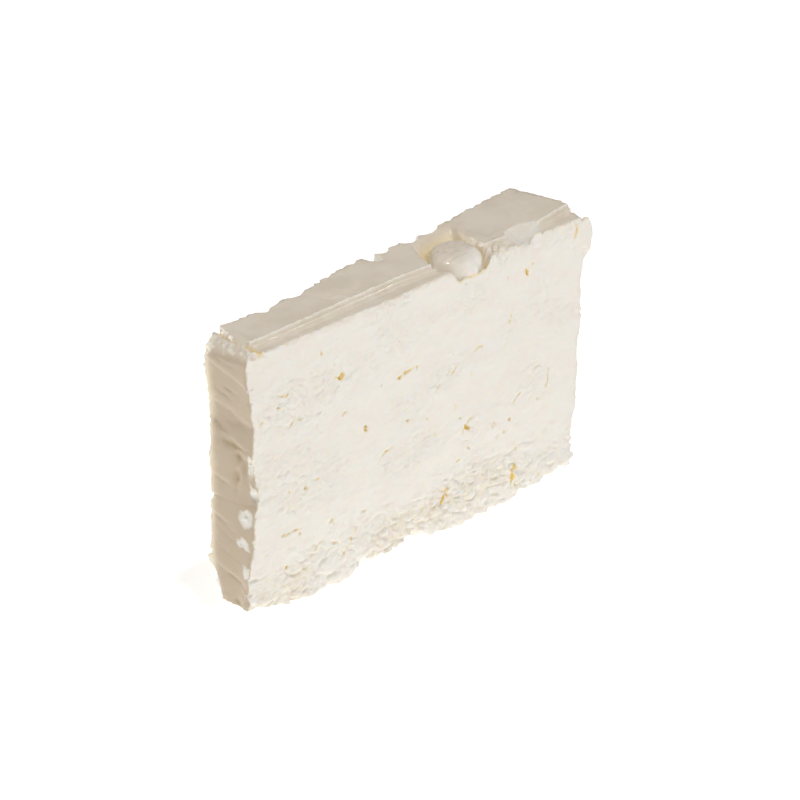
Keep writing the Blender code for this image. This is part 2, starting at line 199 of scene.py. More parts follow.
# How far the left end stands in, by height.
END_WAVE = ((0, 0), (40, 0), (47, 0.7), (61, -1.0), (66, -1.2))
# How far the front left edge stands to the left or right of a plumb line, by height, and how far
# in from the edge that bends the two sides.
CORNER_WAVE = (
    (0, -1.8), (11, -1.8), (14, -0.8), (20, 0.2), (26, 0.3), (29, 1.5), (31.5, 1.5), (36, 0.3), (44, 0),
    (56, -0.6), (64, -0.8),
)
CORNER_WAVE_REACH = 5.0
# Soft dents of the left end: y and z, reach along and across, depth, and slant as rise per mm of y.
END_DENTS = (
    (6.0, 41.8, 3.0, 0.9, 0.8, 0.35),
    (4.2, 39.2, 1.1, 1.7, 0.7, 0.0),
    (4.6, 34.4, 1.0, 2.2, 0.9, 0.0),
    (9.5, 45.4, 3.0, 0.8, 0.25, 0.5),
    (2.4, 36.6, 0.8, 2.6, 0.6, 0.0),
)
DENT_WANDER = ((2.0, 0.5, 8), (0.9, 0.25, 9))

# How strongly each kind of opening is painted towards the yellow: seams, dents, chips, pits and cracks
# for each mm of depth, and the hollow and groove at their deepest. Seams and dents take it as painted
# shade, the rest as painted glow.
SEAM_PAINTED_SHADE = 0.26
DENT_PAINTED_SHADE = 0.3
CHIP_GLOW = 0.06
PIT_GLOW = 1.1
CRACK_GLOW = 1.8
HOLLOW_GLOW = 0.45
GROOVE_GLOW = 0.55
# How deep a pit or the hollow is where that painted glow is full, and where the groove starts to show
# it: under a height and away from the end's rim.
PIT_WARM_DEPTH = 0.8
HOLLOW_WARM_DEPTH = 3.5
GROOVE_WARM_UNDER = (64.4, 0.6)
GROOVE_WARM_FROM = (1.2, 1.0)

# Scoops are rough hollows: centre x, y, z, which lies clear of the cheese, then half sizes.
TOP_CHIPS = (
    ((100.0, -0.4, 67.4), (9.0, 7.2, 4.9)),
    ((104.9, -1.1, 62.9), (2.0, 2.0, 2.0)),
    ((96.8, -1.0, 62.2), (1.5, 2.4, 1.5)),
    ((17.1, -0.3, 65.4), (1.2, 2.2, 2.2)),
    ((12.3, -0.6, 65.0), (0.9, 1.8, 1.8)),
    ((45.3, 0.2, 65.7), (0.9, 2.8, 2.4)),
    ((48.5, 10.5, 67.0), (4.6, 2.3, 1.7)),
)
BACK_CHIPS = (
    ((21.0, 16.4, 67.0), (2.6, 3.4, 4.2)),
    ((33.0, 17.6, 67.0), (5.0, 3.4, 4.0)),
    ((56.8, 20.8, 67.0), (2.2, 3.4, 3.4)),
    ((62.6, 20.6, 67.2), (2.6, 6.4, 7.4)),
    ((67.2, 20.6, 67.0), (3.0, 3.6, 4.0)),
    ((84.0, 21.6, 67.4), (6.0, 4.4, 4.4)),
    ((77.0, 20.4, 67.2), (4.0, 4.0, 4.8)),
    ((112.0, 24.4, 67.2), (4.0, 2.6, 3.8)),
)
END_CHIPS = (
    ((-1.0, -1.0, 30.0), (2.6, 2.6, 2.1)),
    ((-0.8, 13.8, 27.9), (2.6, 2.6, 1.3)),
    ((-1.6, 14.6, 2.0), (5.6, 6.0, 10.6)),
    ((120.4, -1.2, 47.9), (2.9, 3.8, 1.1)),
    ((118.6, -1.2, 26.4), (2.3, 5.0, 1.5)),
)
# Chips placed by seeded draws: nicks up the front left edge, and chips along the back's foot. Each
# kind has its count, the place of the first, the length they spread over, and its least and
# greatest half sizes.
NICK_COUNT = 16
NICK_FROM = 4
NICK_SPREAD = 56
NICK_OFFSET = -0.5
NICK_SIZES = ((0.6, 0.6, 0.5), (1.1, 1.1, 1.6))
NICK_ROUGHNESS = 0.4
FOOT_CHIP_COUNT = 11
FOOT_CHIP_FROM = 6
FOOT_CHIP_SPREAD = 106
FOOT_CHIP_OUT = 0.6
FOOT_CHIP_HEIGHT = (-2.0, -0.6)
FOOT_CHIP_SIZES = ((2.5, 1.8, 2.6), (5.0, 3.6, 4.4))
# How deep a chip goes before no skin is left in it.
BARE_DEPTH = 0.6
# Pits of the front face are cut by rough ellipsoids that are centred this far in front of it. Only
# points within sight of a pit, along the face and into it, are tried.
PIT_OFFSET = 0.9
PIT_ROUGHNESS = 0.36
PIT_GRAIN = (1.5, 0.6)
PIT_SIGHT = 8
PIT_SIGHT_BACK = 6
# Each pit's centre x and z, half length, half width, depth and slant in degrees.
PITS = (
    (30.3, 49.9, 1.4, 0.6, 0.8, 12),
    (31.3, 50.4, 0.9, 0.8, 0.5, 50),
    (53.6, 43.9, 2.8, 0.7, 0.9, -15),
    (39.5, 34.9, 1.1, 0.6, 1.1, 60),
    (38.7, 14.9, 0.8, 0.4, 0.9, 5),
    (11.6, 9.3, 1.3, 0.7, 0.8, -20),
    (75.8, 24.0, 1.4, 0.6, 1.1, 40),
    (94.3, 12.8, 1.0, 0.6, 0.9, 60),
    (98.0, 55.7, 1.6, 0.5, 0.8, 60),
    (67.2, 9.4, 2.6, 0.5, 0.8, -60),
    (92.8, 6.6, 4.4, 0.5, 0.8, -72),
    (9.1, 49.1, 0.8, 0.4, 0.5, 20),
    (85.1, 21.5, 0.5, 0.5, 0.7, 0),
    (89.6, 18.9, 0.6, 0.5, 0.7, 50),
    (91.4, 21.3, 0.4, 0.4, 0.6, 0),
    (106.4, 9.2, 0.5, 0.35, 0.6, 0),
    (54.2, 32.3, 0.7, 0.4, 0.6, 10),
    (24.1, 57.7, 0.7, 0.5, 0.5, 50),
)
# Fine cracks of the front face: where each starts and ends in x and z, and how far it bows out.
CRACKS = (
    (31.4, 40.2, 34.2, 40.5, 0.5),
    (2.8, 46.4, 5.0, 48.1, 0.2),
    (13.4, 43.1, 17.2, 43.7, 1.4),
    (22.6, 42.0, 22.6, 39.8, -0.2),
    (35.7, 12.2, 31.0, 5.9, 0.4),
    (10.2, 17.5, 17.1, 17.7, 0.4),
    (13.5, 51.5, 9.6, 51.5, 0.3),
    (70.0, 38.6, 71.9, 40.3, 0.2),
    (78.6, 41.6, 82.0, 42.0, 0.6),
    (90.0, 44.2, 92.4, 48.6, -0.7),
    (74.0, 22.4, 78.2, 26.0, 0.9),
    (93.0, 24.2, 96.0, 27.0, 0.7),
    (91.6, 10.4, 94.6, 1.8, 0.3),
    (66.6, 12.0, 69.8, 5.6, 0.5),
    (58.9, 6.9, 60.4, 8.8, 0.2),
    (99.8, 30.4, 103.0, 31.4, 0.5),
    (104.0, 24.0, 105.6, 30.2, -0.8),
    (64.3, 36.2, 66.4, 37.4, 0.2),
    (44.0, 25.6, 50.0, 27.4, 0.5),
    (20.0, 9.0, 25.0, 12.4, 0.8),
)
# Lines left on the end by the blade, and lines scratched along the top: y and z, then x and y.
END_LINES = (
    (9.7, 42.6, 0.0, 41.0, 0.4),
    (6.5, 40.4, 0.6, 38.2, 0.2),
    (11.9, 33.6, -0.5, 30.8, 0.5),
    (11.2, 17.3, 1.7, 13.8, 0.3),
    (7.2, 50.4, 0.5, 49.0, 0.2),
    (10.7, 54.8, 4.6, 52.3, 0.3),
    (12.2, 62.6, 1.2, 60.3, 0.2),
    (11.9, 61.6, 8.2, 61.4, 0.1),
    (11.5, 57.7, 3.0, 53.5, 0.3),
    (9.5, 52.6, 1.0, 45.4, 0.5),
    (7.7, 33.3, 0.1, 31.4, 0.2),
    (11.8, 24.0, 5.0, 22.4, 0.3),
    (10.6, 21.5, 2.2, 17.6, 0.4),
    (9.0, 11.8, 1.0, 8.6, 0.4),
)
TOP_LINES = (
    (24.0, 9.2, 48.0, 13.4, 0.2),
    (27.6, 8.4, 38.0, 9.0, 0.1),
    (40.0, 12.0, 50.2, 15.1, 0.1),
    (30.0, 6.6, 31.6, 9.8, 0.0),
    (49.4, 13.6, 46.6, 7.4, 0.2),
    (114.2, 20.0, 109.6, 7.3, 0.3),
    (95.0, 10.4, 117.8, 11.3, 0.3),
    (103.0, 14.0, 116.0, 15.0, 0.2),
    (60.0, 8.0, 70.0, 9.0, 0.2),
    (6.0, 9.0, 20.0, 10.2, 0.1),
)
# One crack of the front face, opened in the flake at the upper right once it is fused on.
FLAKE_CRACKS = ((116.4, 63.2, 114.6, 58.4, 0.6),)
# How deep and how wide cracks and lines are, and how they wander.
CRACK_BITE = 0.5
CRACK_HALF = 0.2
LINE_BITE = 0.16
TOP_LINE_BITE = 0.6 * LINE_BITE
LINE_HALF = 0.32
LINE_MARGIN = 1.5
LINE_WANDER = 0.3
LINE_WANDER_LENGTH = 0.9
# The smallest cracks and pits of the front are spread by seeded draws, and lie closer low down.
STRAY_CRACKS = 45
STRAY_PITS = 50
STRAY_X = (3, 113)
STRAY_FROM = 3
STRAY_RISE = 57
# The sides that lines are opened in: the two axes they are given in, and the way into the cheese.
FRONT_SIDE = ((0, 2), (0, 1, 0))
LEFT_SIDE = ((1, 2), (1, 0, 0))
TOP_SIDE = ((0, 1), (0, 0, -1))
FRONT_DEPTH = 3
LEFT_DEPTH = 3
TOP_FROM = 62

# Lumps of curd that stand proud: centre, half sizes, turn about Z, tilt about Y, roughness.
LUMPS = (
    ((89.4, 1.8, 62.7), (2.9, 2.2, 2.4), 35, 0, 0.35),
    ((101.4, 0.6, 62.4), (2.4, 0.5, 1.7), 0, -20, 0.15),
    ((118.6, 1.0, 58.2), (4.3, 1.4, 4.6), 0, 8, 0.4),
    ((118.4, 1.2, 53.6), (2.0, 1.1, 1.2), 0, 0, 0.4),
)
# Crumbs that stick to the left end: middle, half sizes of the heap, number of bits and their size.
CRUMBS = (
    ((0.1, 1.9, 25.0), (0.2, 1.1, 1.4), 8, 0.4),
    ((0.1, 2.6, 18.7), (0.2, 1.1, 0.7), 5, 0.36),
    ((-0.6, 1.5, 12.2), (0.2, 0.6, 0.8), 3, 0.36),
    ((0.7, 0.3, 31.0), (0.3, 0.4, 0.9), 2, 0.36),
    ((0.2, 0.6, 37.6), (0.2, 0.3, 2.4), 5, 0.4),
)
CRUMB_CORNERS = 12
CRUMB_SMEAR = ((0.9, 0.5, 71), (0.45, 0.3, 72))
# The lump in the hollow: its middle, half height, the height of its sliced top, and its outline
# from above as radii at angles in degrees from X towards Y.
NUGGET_CENTRE = (79.5, 6.5, 59.4)
NUGGET_HALF_HEIGHT = 6.8
NUGGET_TOP = 66.4
NUGGET_FALL = 0.11
NUGGET_SHOULDER = 5.2
NUGGET_PLAN = (
    (-178, 9.4), (-159, 8.6), (-134, 7.6), (-118, 7.4), (-78, 5.9), (-53, 6.5), (-23, 6.6), (4, 7.2),
    (31, 9.4), (47, 9.8), (75, 8.4), (100, 7.4), (133, 5.6), (165, 7.6),
)
NUGGET_BOXY = 3.0
NUGGET_SOFTNESS = 0.9
NUGGET_ROUGH = ((4.0, 0.35), (1.1, 0.07))

# Where the moist skin still lies: on the top, behind the lip's front edge and on the left end.
SKIN_TOP = (62.0, 0.4)
SKIN_FACING = (0.3, 0.3)
SKIN_RAGGED = ((1.5, 0.12, 70),)
SKIN_LIP = (FRONT_HEIGHT, 0.4)
SKIN_LIP_BEHIND = 1.0
SKIN_LIP_UNTIL = 120
SKIN_END = (3.0, 0.5)
# On the lump it fades towards the front, along a slant.
NUGGET_REACH = (8.5, 5.5)
NUGGET_SKIN_FROM = (60.6, 0.6)
NUGGET_SKIN_UP = (61.4, 2.2)
NUGGET_SKIN_BACK = (1.0, 4.5)
NUGGET_SKIN_SLANT = 0.25
# Painted highlights on the lip's edges, as place behind its line and width, and their beads.
CREST_UPPER = (0.5, 0.22)
CREST_LOWER = (-0.75, 0.15)
CREST_UPPER_BEADS = ((1.3, 0.7, 49),)
CREST_LOWER_BEADS = ((3.0, 0.8, 50),)
CREST_UP = (63.6, 0.6)
CREST_FROM = (3.0, 1.5)
# The rim of the left end gets painted highlights too, in specks.
RIM_HIGHLIGHT_UP = (62.4, 1.8)
RIM_HIGHLIGHT_END = (4.0, 1.5)
RIM_SPECK_SIZE = 0.9
RIM_SPECKS = (0.12, 0.2)
# Where whey stands: on the torn end, and in patches in and by the hollow, whose middle and half
# sizes are given.
WET_UP = (60.0, 2.0)
WET_END = (9.0, 3.0)
WET_HOLLOW = (82.0, 7.0, 8.0, 7.0)
WET_PATCH_SIZE = 1.0
WET_PATCHES = (0.1, 0.15)
# How far in from the left end its painted shade, the painted light on its crumbs and its lit back rim
# reach.
END_SHADE_REACH = (2.2, 1.2)
CRUMB_LIGHT_REACH = (1.5, 0.5)
END_RIM = (3, 1.5)
# How far in from the back rim the left end is lit through: painted glow in its colour, and light sinking in
# deeper.
RIM_GLOW = 3.0

# The two finishes: colours as sRGB, then sizes in mm, roughness from its least to its greatest, the
# share and depth of light that sinks in, and how wet the surface is from its least to its greatest.
CURD_PALE = "#F3F0EA"
CURD_PINK = "#F3EDE6"
CURD_GREEN = "#F1EFE8"
# Painted glow and shade: the yellow that pits, cracks, chips, the hollow and the groove are painted
# towards, standing in for light glowing through the cheese in its openings; seams and dents take it as
# painted shade.
PAINTED_GLOW_YELLOW = "#F5D77C"
SKIN_CREAM = "#F0E6D8"
SKIN_SHADE = "#E8DDCC"
# Painted shade: the left end's skin is painted towards this darker, warmer cream.
END_PAINTED_SHADE = "#D3C3AD"
# Painted glow: the left end's back rim is painted towards this pale cream, as if lit through from behind.
RIM_PAINTED_GLOW = "#FFF3DA"
# Painted highlights on the lip's edges and the end's rim, and painted light on the end's crumbs, go towards
# this white.
PAINTED_HIGHLIGHT_WHITE = "#FFFAF0"
# Sizes of the colours' patches in mm: pink and green tints of the curd, and clouds in the skin.
PINK_MM = 3.2
GREEN_MM = 1.8
CLOUD_MM = 7.0
CUT_GLOSS = {
    "grain_mm": 0.8, "roughness": (0.5, 0.68), "bump": 0.7, "bump_mm": 0.25,
    "milky": 0.55, "milky_mm": 0.5, "rim_mm": 0.5, "coat": (0.0, 0.3),
}
MOIST_GLOSS = {
    "grain_mm": 0.7, "roughness": (0.36, 0.52), "bump": 0.6, "bump_mm": 0.12,
    "milky": 0.45, "milky_mm": 0.45, "rim_mm": 3.5, "coat": (0.25, 1.0),
}
MILK_IOR = 1.4
MILK_RADIUS = (1.0, 0.85, 0.6)
WHEY_IOR = 1.36
WHEY_ROUGHNESS = 0.1

# The floor, the pale room and the lights. Each light has its azimuth and elevation in degrees, its
# distance and width in metres, its power in watts and its tint.
FLOOR_PAPER = "#F7F6F3"
FLOOR_FIBRE = "#FBFAF8"
FLOOR_FIBRE_MM = 4.0
FLOOR_HALF = 3
FLOOR_EMISSION = 0.55
ROOM_TINT = (1.0, 0.93, 0.83, 1)
ROOM_STRENGTH = 0.22
LIGHT_AIM = Vector((0, 0, 0.03))
LIGHTS = {
    "key_softbox": (12, 44, 1.5, 0.3, 3.4, (1.0, 1.0, 0.99)),
    "overhead_softbox": (-30, 72, 1.2, 0.1, 5.0, (1.0, 1.0, 1.0)),
    "rear_softbox": (195, 14, 1.2, 0.5, 3.8, (1.0, 1.0, 1.0)),
    "lip_glint": (64, 36, 1.2, 0.06, 0.6, (1.0, 1.0, 1.0)),
}

# The view that the photograph was taken from: angles in degrees, the lens in mm, and how far the
# camera stands from the aimed point, in mm from the front left lower corner.
VIEW_AZIMUTH = -50.35
VIEW_ELEVATION = 21.58
VIEW_AIM = (61.19, 8.0, 33.28)
VIEW_DISTANCE = 1606.2
LENS = 315
SENSOR = 36


def smooth_step(value):
    """Eases from 0 to 1 as value goes from 0 to 1."""
    held = np.clip(value, 0.0, 1.0)
    return held * held * (3 - 2 * held)


def above(values, level, reach):
    """0 up to the level, easing to 1 over the reach beyond it."""
    return smooth_step((values - level) / reach)


def below(values, level, reach):
    """0 down to the level, easing to 1 over the reach beneath it."""
    return smooth_step((level - values) / reach)


def near(gap, reach):
    """1 where the gap to an edge is nothing, easing to 0 at the reach from it."""
    return smooth_step(1 - gap / reach)


def ridge(values, place, width):
    """1 at the place, dying away over about the width on both sides of it."""
    return np.exp(-(((values - place) / width) ** 2))


def seed_shift(seed):
    """A shift that moves a noise pattern to a place of its own."""
    return Vector((seed * 7.31, seed * 3.17, seed * 5.93))


def bumps(points, size, seed):
    """Soft noise from about -1 to 1, whose bumps are about size across."""
    shift = seed_shift(seed)
    return np.array([noise.noise(Vector(p) / size + shift) for p in points])


def layered(points, layers):
    """Bumps of several sizes added up; a layer is its size across, its height and its seed."""
    return sum(height * bumps(points, size, seed) for size, height, seed in layers)


def curds(points, size, seed):
    """1 at the middle of each curd and 0 in the seams between them."""
    shift = seed_shift(seed)
    places = [Vector(p) / size + shift for p in points]
    warped = [p + CURD_WARP * noise.noise_vector(2.1 * p) for p in places]
    gaps = np.array([noise.voronoi(p)[0][:2] for p in warped])
    return smooth_step((gaps[:, 1] - gaps[:, 0]) * 2.2)


def station(outline, x):
    """The outline's value at each x, from its (x, value) stations."""
    places, values = zip(*outline)
    return np.interp(x, places, values)


def flat_points(x, y):
    """Points on the table under each x and y."""
    return np.stack([x, y, np.zeros_like(x)], axis=1)


def scoop(points, warm, centre, half, seed, glow, rough=0.25, sizes=(2.4, 0.8)):
    """Pushes the points inside a rough ellipsoid out to its surface, and adds painted glow to them as it
    goes.
    """
    away = (points - centre) / half
    distance = np.linalg.norm(away, axis=1)
    close = np.flatnonzero((distance < 1.3) & (distance > 1e-6))
    if len(close) == 0:
        return
    heading = away[close] / distance[close, None]
    rough = min(rough / min(half), 0.5)
    broad, fine = (bumps(heading * half, size, seed) for size in sizes)
    reach = 1 + rough * (broad + 0.6 * fine)
    pushed = distance[close] < reach
    rows = close[pushed]
    moved = heading[pushed] * reach[pushed, None] * half + centre
    travel = np.linalg.norm(moved - points[rows], axis=1)
    warm[rows] = np.maximum(warm[rows], glow * travel)
    points[rows] = moved


def inside_share(outline, x, y):
    """How far each point lies inside a clockwise convex outline, as a share of its wall's width."""
    corners = np.array(outline)
    nearest = np.full(x.shape, -np.inf)
    for (sx, sy, wall), (ex, ey, _) in zip(corners, np.roll(corners, -1, axis=0)):
        along = np.array((ex - sx, ey - sy)) / np.hypot(ex - sx, ey - sy)
        share = ((x - sx) * along[1] - (y - sy) * along[0]) / wall
        nearest = np.logaddexp(nearest, -HOLLOW_CORNER * share)
    return -nearest / HOLLOW_CORNER


def hollow_depth(x, y):
    """How far the top lies below its own level inside the hollow."""
    flat = flat_points(x, y)
    inward = inside_share(HOLLOW, x, y) + layered(flat, HOLLOW_RAGGED)
    return HOLLOW_DEPTH * smooth_step(inward) * (1 + layered(flat, HOLLOW_FLOOR))


def groove_share(x, y):
    """1 where the skin at the left end was torn off and 0 where it lies, and the tear's own x."""
    flat = flat_points(x, y)
    tear = station(TEAR_LINE, y) + layered(flat, TEAR_JAG)
    return 1 - smooth_step((x - tear) / TEAR_WALL + 0.5 + layered(flat, TEAR_RAGGED)), tear


def lip_place(x):
    """How far back the lip stands at each x."""
    return station(LIP_LINE, x) + layered(flat_points(x, np.zeros_like(x)), LIP_WANDER)


def back_depth(x, height_share):
    """How far back the slab reaches at each x, tapering a little towards its base."""
    return station(BACK_OUTLINE, x) * (1 - BACK_TAPER * (1 - height_share))


def top_height(x, y):
    """The height of the top: strip, lip and skin, the torn left end and the hollow."""
    flat = flat_points(x, y)
    lip = lip_place(x)
    past = y - lip
    strip = FRONT_HEIGHT + STRIP_RISE * np.clip(y / lip, 0, 1)
    skin = SKIN_HEIGHT + SKIN_TILT * past
    climbed = sum(share * above(past, start, width) for start, width, share in LIP_STEPS)
    beads = np.clip(0.6 + layered(flat, LIP_BEADS), 0, 1.5)
    place, width, rise = LIP_CREST
    crest = rise * beads * ridge(past, place, width)
    sag = sum(depth * ridge(past, place, width) for place, width, depth in LIP_SAGS)
    height = strip + (skin - strip) * climbed + crest - sag
    torn, tear = groove_share(x, y)
    rim = RIM_RISE * near(x, tear) - RIM_ROUND * near(x, RIM_ROUND_REACH)
    uneven = np.clip(0.8 + layered(flat, GROOVE_CUT_UNEVEN), 0.2, 1.3)
    cut = GROOVE_CUT * ridge(x - tear, -GROOVE_CUT_OUT, GROOVE_CUT_WIDTH) * uneven
    worn = GROOVE_HEIGHT + GROOVE_FALL * y + rim - cut + layered(flat, GROOVE_ROUGH)
    height = height + (worn - height) * torn
    return height - hollow_depth(x, y)


def base_height(x, y):
    """The height of the base: level patches that rest on the table, and crumbled places."""
    flat = flat_points(x, y)
    rise = station(BASE_OUTLINE, x) * (1 + layered(flat, BASE_UNEVEN))
    front = rise * near(y, BASE_LEAST_REACH + BASE_REACH * rise) ** 0.5
    front = np.maximum(front, END_RISE * near(x, END_RISE_REACH) ** 0.5)
    front = front + layered(flat, BASE_CRUMBLE) * smooth_step(front)
    rough = layered(flat, BASE_BUMPS) - BASE_LEVEL
    return np.maximum(np.maximum(front, rough), 0)


def slab(unit):
    """The plain slab: the unit cube's points spread over the measured outline."""
    u, v, w = unit.T
    v = v * (FRONT_CROWDING + (1 - FRONT_CROWDING) * v)
    z = w * SKIN_HEIGHT
    x = u * (station(END_OUTLINE, z) + END_BULGE * np.sin(np.pi * v) * smooth_step(3 * w - 2))
    y = v * back_depth(x, w)
    base = base_height(x, y)
    z = base + w * (top_height(x, y) - base)
    return np.stack([x, y, z], axis=1)


def broken_relief(points, seed):
    """How far a broken face lies inside the slab, and how much of a seam each point lies in."""
    x, _, z = points.T
    low = below(z, *CURDS_LOW)
    lively = np.maximum(below(x, *LIVELY_LEFT), below(z, *LIVELY_LOW))
    points = points * (GRAIN_STRETCH, 1, 1)
    depth = np.zeros(len(points))
    for number, (size, height) in enumerate(SWELLS):
        fine = QUIET_SHARE + (1 - QUIET_SHARE) * lively if size < SMALL_SWELL else 1
        depth += height * fine * bumps(points, size, seed + 40 * number)
    patch = smooth_step(0.5 + 1.4 * bumps(points, CURD_PATCH_SIZE, seed + 1))
    shown = np.maximum(CURD_PATCH_SHARE * patch, low)
    coarse = CURD_DEPTH * (0.5 - curds(points, CURD_SIZE, seed + 2)) * shown
    patch = smooth_step(0.3 + 1.6 * bumps(points, CRUMB_PATCH_SIZE, seed + 5))
    torn = patch * CRUMB_PATCH_SHARE + CRUMB_LOW_SHARE * low
    crumbs = curds(points, CRUMB_SIZE, seed + 6)
    small = CRUMB_DEPTH * (0.45 - crumbs) * np.clip(torn, 0, 1)
    seams = (1 - crumbs) * np.clip(torn - 0.3, 0, 1)
    return depth + coarse + small, seams


def sheared_relief(points):
    """How far the cut left end lies inside the slab, and how deep its soft dents are."""
    _, y, z = points.T
    drift = z - SHEAR_SLOPE * y + layered(points, SHEAR_WANDER)
    turn = np.mod(drift / SHEAR_PITCH, 1.0)
    step = SHEAR_DEPTH * (np.minimum(turn, (1 - turn) * SHEAR_STEEPNESS) - 0.4)
    lines = np.stack([drift / BLADE_SPACING, y / BLADE_LENGTH, np.zeros(len(points))], axis=1)
    dents = np.zeros(len(points))
    wander = layered(points, DENT_WANDER)
    for dent_y, dent_z, along, across, depth, slant in END_DENTS:
        off = y - dent_y
        gap = (off / along) ** 2 + ((z - dent_z - slant * off + wander) / across) ** 2
        dents = np.maximum(dents, depth * np.exp(-gap))
    return step + layered(points, SHEAR_SWELLS) + layered(lines, BLADE_LINES), dents


def left_end_relief(points, y, z):
    """How far the left end lies inside the slab, without and with its soft dents."""
    opening = ridge(z - CRACK_HEIGHT, layered(points, CRACK_WANDER), CRACK_WIDTH)
    crack = CRACK_DEPTH * opening * np.maximum(CRACK_FRONT_SHARE, above(y, *CRACK_DEEP_FADE))
    foot = below(z, *FOOT_FADE) * layered(points, FOOT_ROUGH)
    lean = RIM_LEAN * above(z, *RIM_LEAN_FADE) ** 1.5 + station(END_WAVE, z)
    sheared, dents = sheared_relief(points)
    return sheared + dents + crack + foot + lean, dents


def skin_relief(points, x, y):
    """How far the skin of the top stands up: streaks, soft swells and the rough patch."""
    patch_x, patch_y, long, wide, rise = ROUGH_PATCH
    from_patch = np.hypot((x - patch_x) / long, (y - patch_y) / wide)
    patch = rise * smooth_step(1.6 - from_patch) * (layered(points, ROUGH_PATCH_BUMPS) - 0.3)
    streaks = layered(points * (STREAK_STRETCH, 1.0, 1.0), SKIN_STREAKS)
    return layered(points, SKIN_SWELLS) + streaks + patch


def shape_faces(unit, points, warm):
    """Gives each side its own surface, fading out round the edges."""
    x, y, z = points.T.copy()
    length = station(END_OUTLINE, z)
    depth = back_depth(x, unit[:, 2])
    near_front = near(y, EDGE_REACH)
    near_back = near(depth - y, EDGE_REACH)
    near_left = near(x, EDGE_REACH)
    near_right = near(length - x, EDGE_REACH)
    front, seams = broken_relief(points, 3)
    front = front * near_front
    back = broken_relief(points, 9)[0] * near_back * BACK_SHARE
    left, dents = left_end_relief(points, y, z)
    left = left * near_left
    by_corner = 0.5 * station(CORNER_WAVE, z)
    left += by_corner * near(y, CORNER_WAVE_REACH) * near_left
    front -= by_corner * near(x, CORNER_WAVE_REACH) * near_front
    # Painted shade in the seams between the front's crumbs and in the left end's dents.
    warm += SEAM_PAINTED_SHADE * seams * near_front + DENT_PAINTED_SHADE * dents * near_left
    right = (broken_relief(points, 7)[0] + layered(points, FRAYED)) * near_right
    teeth = layered(points, TEETH) * above(z, *TEETH_FADE)
    amount, reach_down, reach_back = EDGE_ROUND
    softened = amount * near(FRONT_HEIGHT - z, reach_down) * near(y, reach_back)
    amount, reach = CORNER_ROUND
    corner = amount * near(x, reach) * near(depth - y, reach)
    points[:, 0] += left - right + teeth * near_right + corner
    points[:, 1] += front - back + teeth * near_back + softened - corner
    points[:, 2] += skin_relief(points, x, y) * unit[:, 2]


def pierce(points, warm):
    """Opens the pits of the front face, each a slanting slot with a rough wall."""
    draw = np.random.default_rng(31)
    stray = [
        (draw.uniform(*STRAY_X), STRAY_FROM + STRAY_RISE * draw.uniform(0, 1) ** 1.4,
         draw.uniform(0.3, 0.8), draw.uniform(0.2, 0.4), draw.uniform(0.15, 0.5), draw.uniform(-70, 70))
        for _ in range(STRAY_PITS)
    ]
    for number, (px, pz, long, wide, depth, slant) in enumerate((*PITS, *stray)):
        axes = np.array(Matrix.Rotation(np.radians(slant), 3, "Y"))
        in_sight = (np.abs(points[:, 0] - px) < PIT_SIGHT) & (np.abs(points[:, 2] - pz) < PIT_SIGHT)
        close = np.flatnonzero(in_sight & (points[:, 1] < PIT_SIGHT_BACK))
        local = (points[close] - (px, 0.0, pz)) @ axes
        heat = warm[close]
        centre = np.array((0.0, -PIT_OFFSET, 0.0))
        flare = 1 / np.sqrt(1 - (PIT_OFFSET / (depth + PIT_OFFSET)) ** 2)
        half = np.array((long * flare, depth + PIT_OFFSET, wide * flare))
        # Painted glow inside each pit, by how deep it is.
        scoop(local, heat, centre, half, 100 + number, PIT_GLOW, PIT_ROUGHNESS, PIT_GRAIN)
        points[close] = local @ axes.T + (px, 0.0, pz)
        warm[close] = heat


def crack_line(start, end, bow):
    """Points along an arc from start to end that bows out sideways."""
    share = np.linspace(0, 1, 9)[:, None]
    along = np.array(end) - start
    side = np.array((-along[1], along[0])) / np.linalg.norm(along)
    return np.array(start) + along * share + side * bow * 4 * share * (1 - share)


def drawn_lines(rows, bite):
    """A table's cracks or lines, each with how deep it bites."""
    return [(crack_line(row[:2], row[2:4], row[4]), bite) for row in rows]


def split(points, warm, face, side, lines, half, seed):
    """Opens cracks along lines on one face, each narrowing to nothing at its ends."""
    axes, inward = side
    for number, (line, bite) in enumerate(lines):
        low, high = line.min(axis=0) - LINE_MARGIN, line.max(axis=0) + LINE_MARGIN
        flat = points[:, axes]
        close = np.flatnonzero(face & (flat > low).all(axis=1) & (flat < high).all(axis=1))
        if len(close) == 0:
            continue
        seeds = (seed + number, seed + number + 300)
        wander = [bumps(points[close], LINE_WANDER_LENGTH, one) for one in seeds]
        place = flat[close] + LINE_WANDER * np.stack(wander, axis=1)
        steps = line[1:] - line[:-1]
        share = np.einsum("nks,ks->nk", place[:, None, :] - line[None, :-1, :], steps)
        share = np.clip(share / (steps ** 2).sum(axis=1), 0, 1)
        foot = line[None, :-1, :] + steps[None] * share[:, :, None]
        gaps = np.linalg.norm(place[:, None, :] - foot, axis=2)
        nearest = gaps.argmin(axis=1)
        along = (nearest + share[np.arange(len(close)), nearest]) / len(steps)
        uneven = np.clip(0.75 + 1.3 * bumps(points[close], 1.3, seed + number + 600), 0.1, 1.2)
        opening = np.clip(4 * along * (1 - along), 0, 1) ** 0.5 * uneven
        depth = bite * opening * ridge(gaps.min(axis=1), 0, half)
        points[close] += depth[:, None] * np.array(inward)
        # Painted glow in each crack, by how deep it bites.
        warm[close] = np.maximum(warm[close], CRACK_GLOW * depth)


